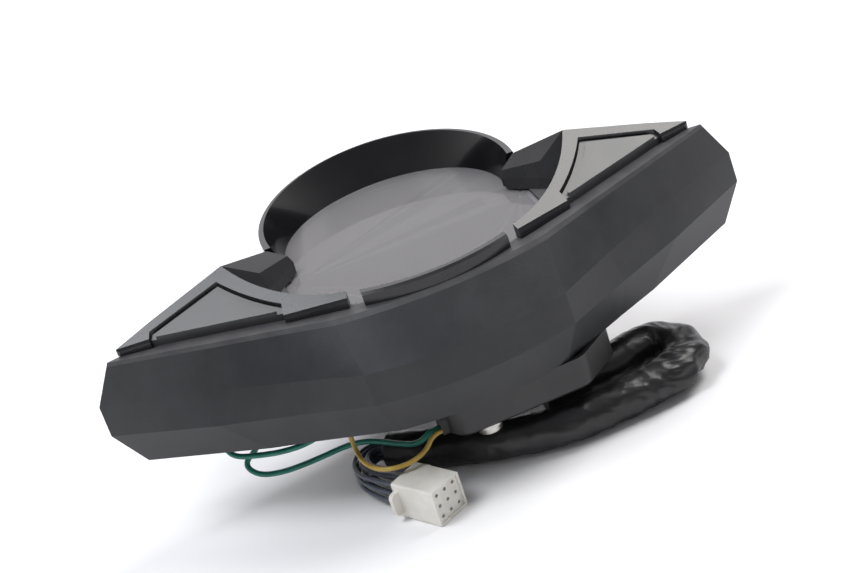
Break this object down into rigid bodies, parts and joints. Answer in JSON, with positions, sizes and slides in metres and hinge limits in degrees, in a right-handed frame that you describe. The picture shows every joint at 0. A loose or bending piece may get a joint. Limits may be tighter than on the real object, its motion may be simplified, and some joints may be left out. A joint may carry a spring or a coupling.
{
  "type": "instrument cluster",
  "caption": "Wide winged motorcycle instrument cluster with a round hooded dial, smoked side windows, a faceted rear case and a sleeved harness ending in a white connector.",
  "frame": {"origin": "middle of the footprint, on the surface that the cluster lies on, back down", "axes": "+X the rider's right, +Y up the dial towards the hood, +Z out of the dial's face"},
  "size_m": [0.282, 0.1589, 0.1011],
  "materials": {
    "case_black": "fine grain, matte",
    "bezel_grey": "matte",
    "gloss_black": "gloss",
    "satin_black": "satin",
    "smoked_plastic": "smoked",
    "clear_lens": "clear with a light haze",
    "rubber_black": "matte",
    "dial_black": "matte",
    "red_plastic": "gloss",
    "clear_guide": "clear",
    "board_green": "solder mask",
    "led_white": "gloss",
    "reflector_chrome": "mirror",
    "bulb_glass": "clear",
    "box_black": "smooth",
    "zinc_steel": "zinc plated",
    "insert_brass": "turned",
    "sleeve_vinyl": "soft vinyl",
    "nylon_white": "milky",
    "tinned_brass": "tinned",
    "green_insulation": "satin",
    "yellow_insulation": "satin",
    "grey_insulation": "satin",
    "motor_grey": "moulded",
    "needle_orange": "bright"
  },
  "bodies": {
    "root": {"rear_case": "case_black", "front_bezel": "bezel_grey", "case_screws": "zinc_steel", "hood_ring": "gloss_black", "right_wing_trim": "satin_black", "left_wing_trim": "satin_black", "lower_trim": "satin_black", "right_smoked_window": "smoked_plastic", "left_smoked_window": "smoked_plastic", "lens": "clear_lens", "lens_gasket": "rubber_black", "dial_surround": "dial_black", "dial_plate": "dial_black", "warning_window": "red_plastic", "light_guide": "clear_guide", "circuit_board": "board_green", "board_screws": "zinc_steel", "backlight_leds": "led_white", "right_reflector": "reflector_chrome", "left_reflector": "reflector_chrome", "left_indicator_holder": "rubber_black", "right_indicator_holder": "rubber_black", "backlight_holder": "rubber_black", "bulbs": "bulb_glass", "rear_box": "box_black", "box_washers": "zinc_steel", "box_screws": "zinc_steel", "left_mounting_post": "case_black", "right_mounting_post": "case_black", "post_inserts": "insert_brass", "harness_boot": "rubber_black", "wire_grommet": "rubber_black", "harness_sleeve": "sleeve_vinyl", "connector_housing": "nylon_white", "connector_terminals": "tinned_brass", "green_wire": "green_insulation", "green_return_wire": "green_insulation", "yellow_wire": "yellow_insulation", "lead_1": "grey_insulation", "lead_2": "grey_insulation", "lead_3": "grey_insulation", "lead_4": "grey_insulation", "lead_5": "grey_insulation", "lead_6": "grey_insulation", "lead_7": "grey_insulation", "lead_8": "grey_insulation", "lead_9": "grey_insulation", "speed_motor": "motor_grey", "tach_motor": "motor_grey", "fuel_motor": "motor_grey"},
    "speed_pointer": {"speed_shaft": "zinc_steel", "speed_needle": "needle_orange", "speed_hub": "dial_black"},
    "tach_pointer": {"tach_shaft": "zinc_steel", "tach_needle": "needle_orange", "tach_hub": "dial_black"},
    "fuel_pointer": {"fuel_shaft": "zinc_steel", "fuel_needle": "needle_orange", "fuel_hub": "dial_black"}
  },
  "joints": [
    {"name": "speed_sweep", "type": "hinge", "parent": "root", "child": "speed_pointer", "pos_m": [0.001, 0.0255, 0.072], "axis": [0, 0, 1], "range_deg": [-201, 0]},
    {"name": "tach_sweep", "type": "hinge", "parent": "root", "child": "tach_pointer", "pos_m": [0.027, -0.026, 0.072], "axis": [0, 0, 1], "range_deg": [-170, 0]},
    {"name": "fuel_sweep", "type": "hinge", "parent": "root", "child": "fuel_pointer", "pos_m": [-0.031, -0.02, 0.072], "axis": [0, 0, 1], "range_deg": [-90, 0]}
  ]
}
